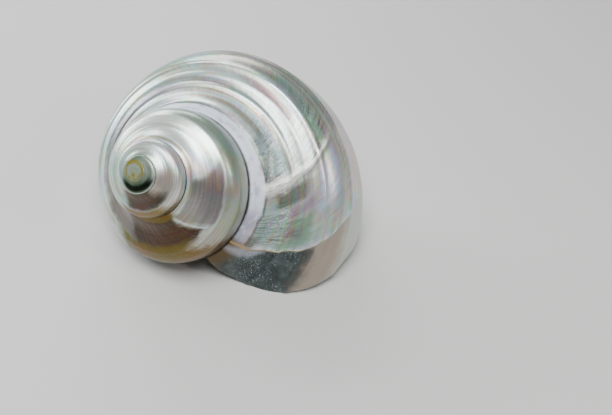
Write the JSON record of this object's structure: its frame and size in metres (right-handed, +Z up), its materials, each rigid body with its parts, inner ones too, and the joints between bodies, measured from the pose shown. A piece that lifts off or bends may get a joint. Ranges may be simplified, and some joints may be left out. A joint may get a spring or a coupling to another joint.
{
  "type": "polished turban shell",
  "caption": "Polished mother-of-pearl turban shell with a low coiled spire, a swollen last whorl and a round open mouth.",
  "frame": {"origin": "on the surface the shell rests on, under the middle of its box", "axes": "+Z up; +X the way the last whorl widens to the right, seen from the spire's side; +Y away from the spire's tip"},
  "size_m": [0.1276, 0.1008, 0.0816],
  "materials": {
    "pearl": "polished mother-of-pearl, silvery with green, pink and blue play of colour"
  },
  "bodies": {
    "root": {"shell": "pearl"}
  },
  "joints": []
}
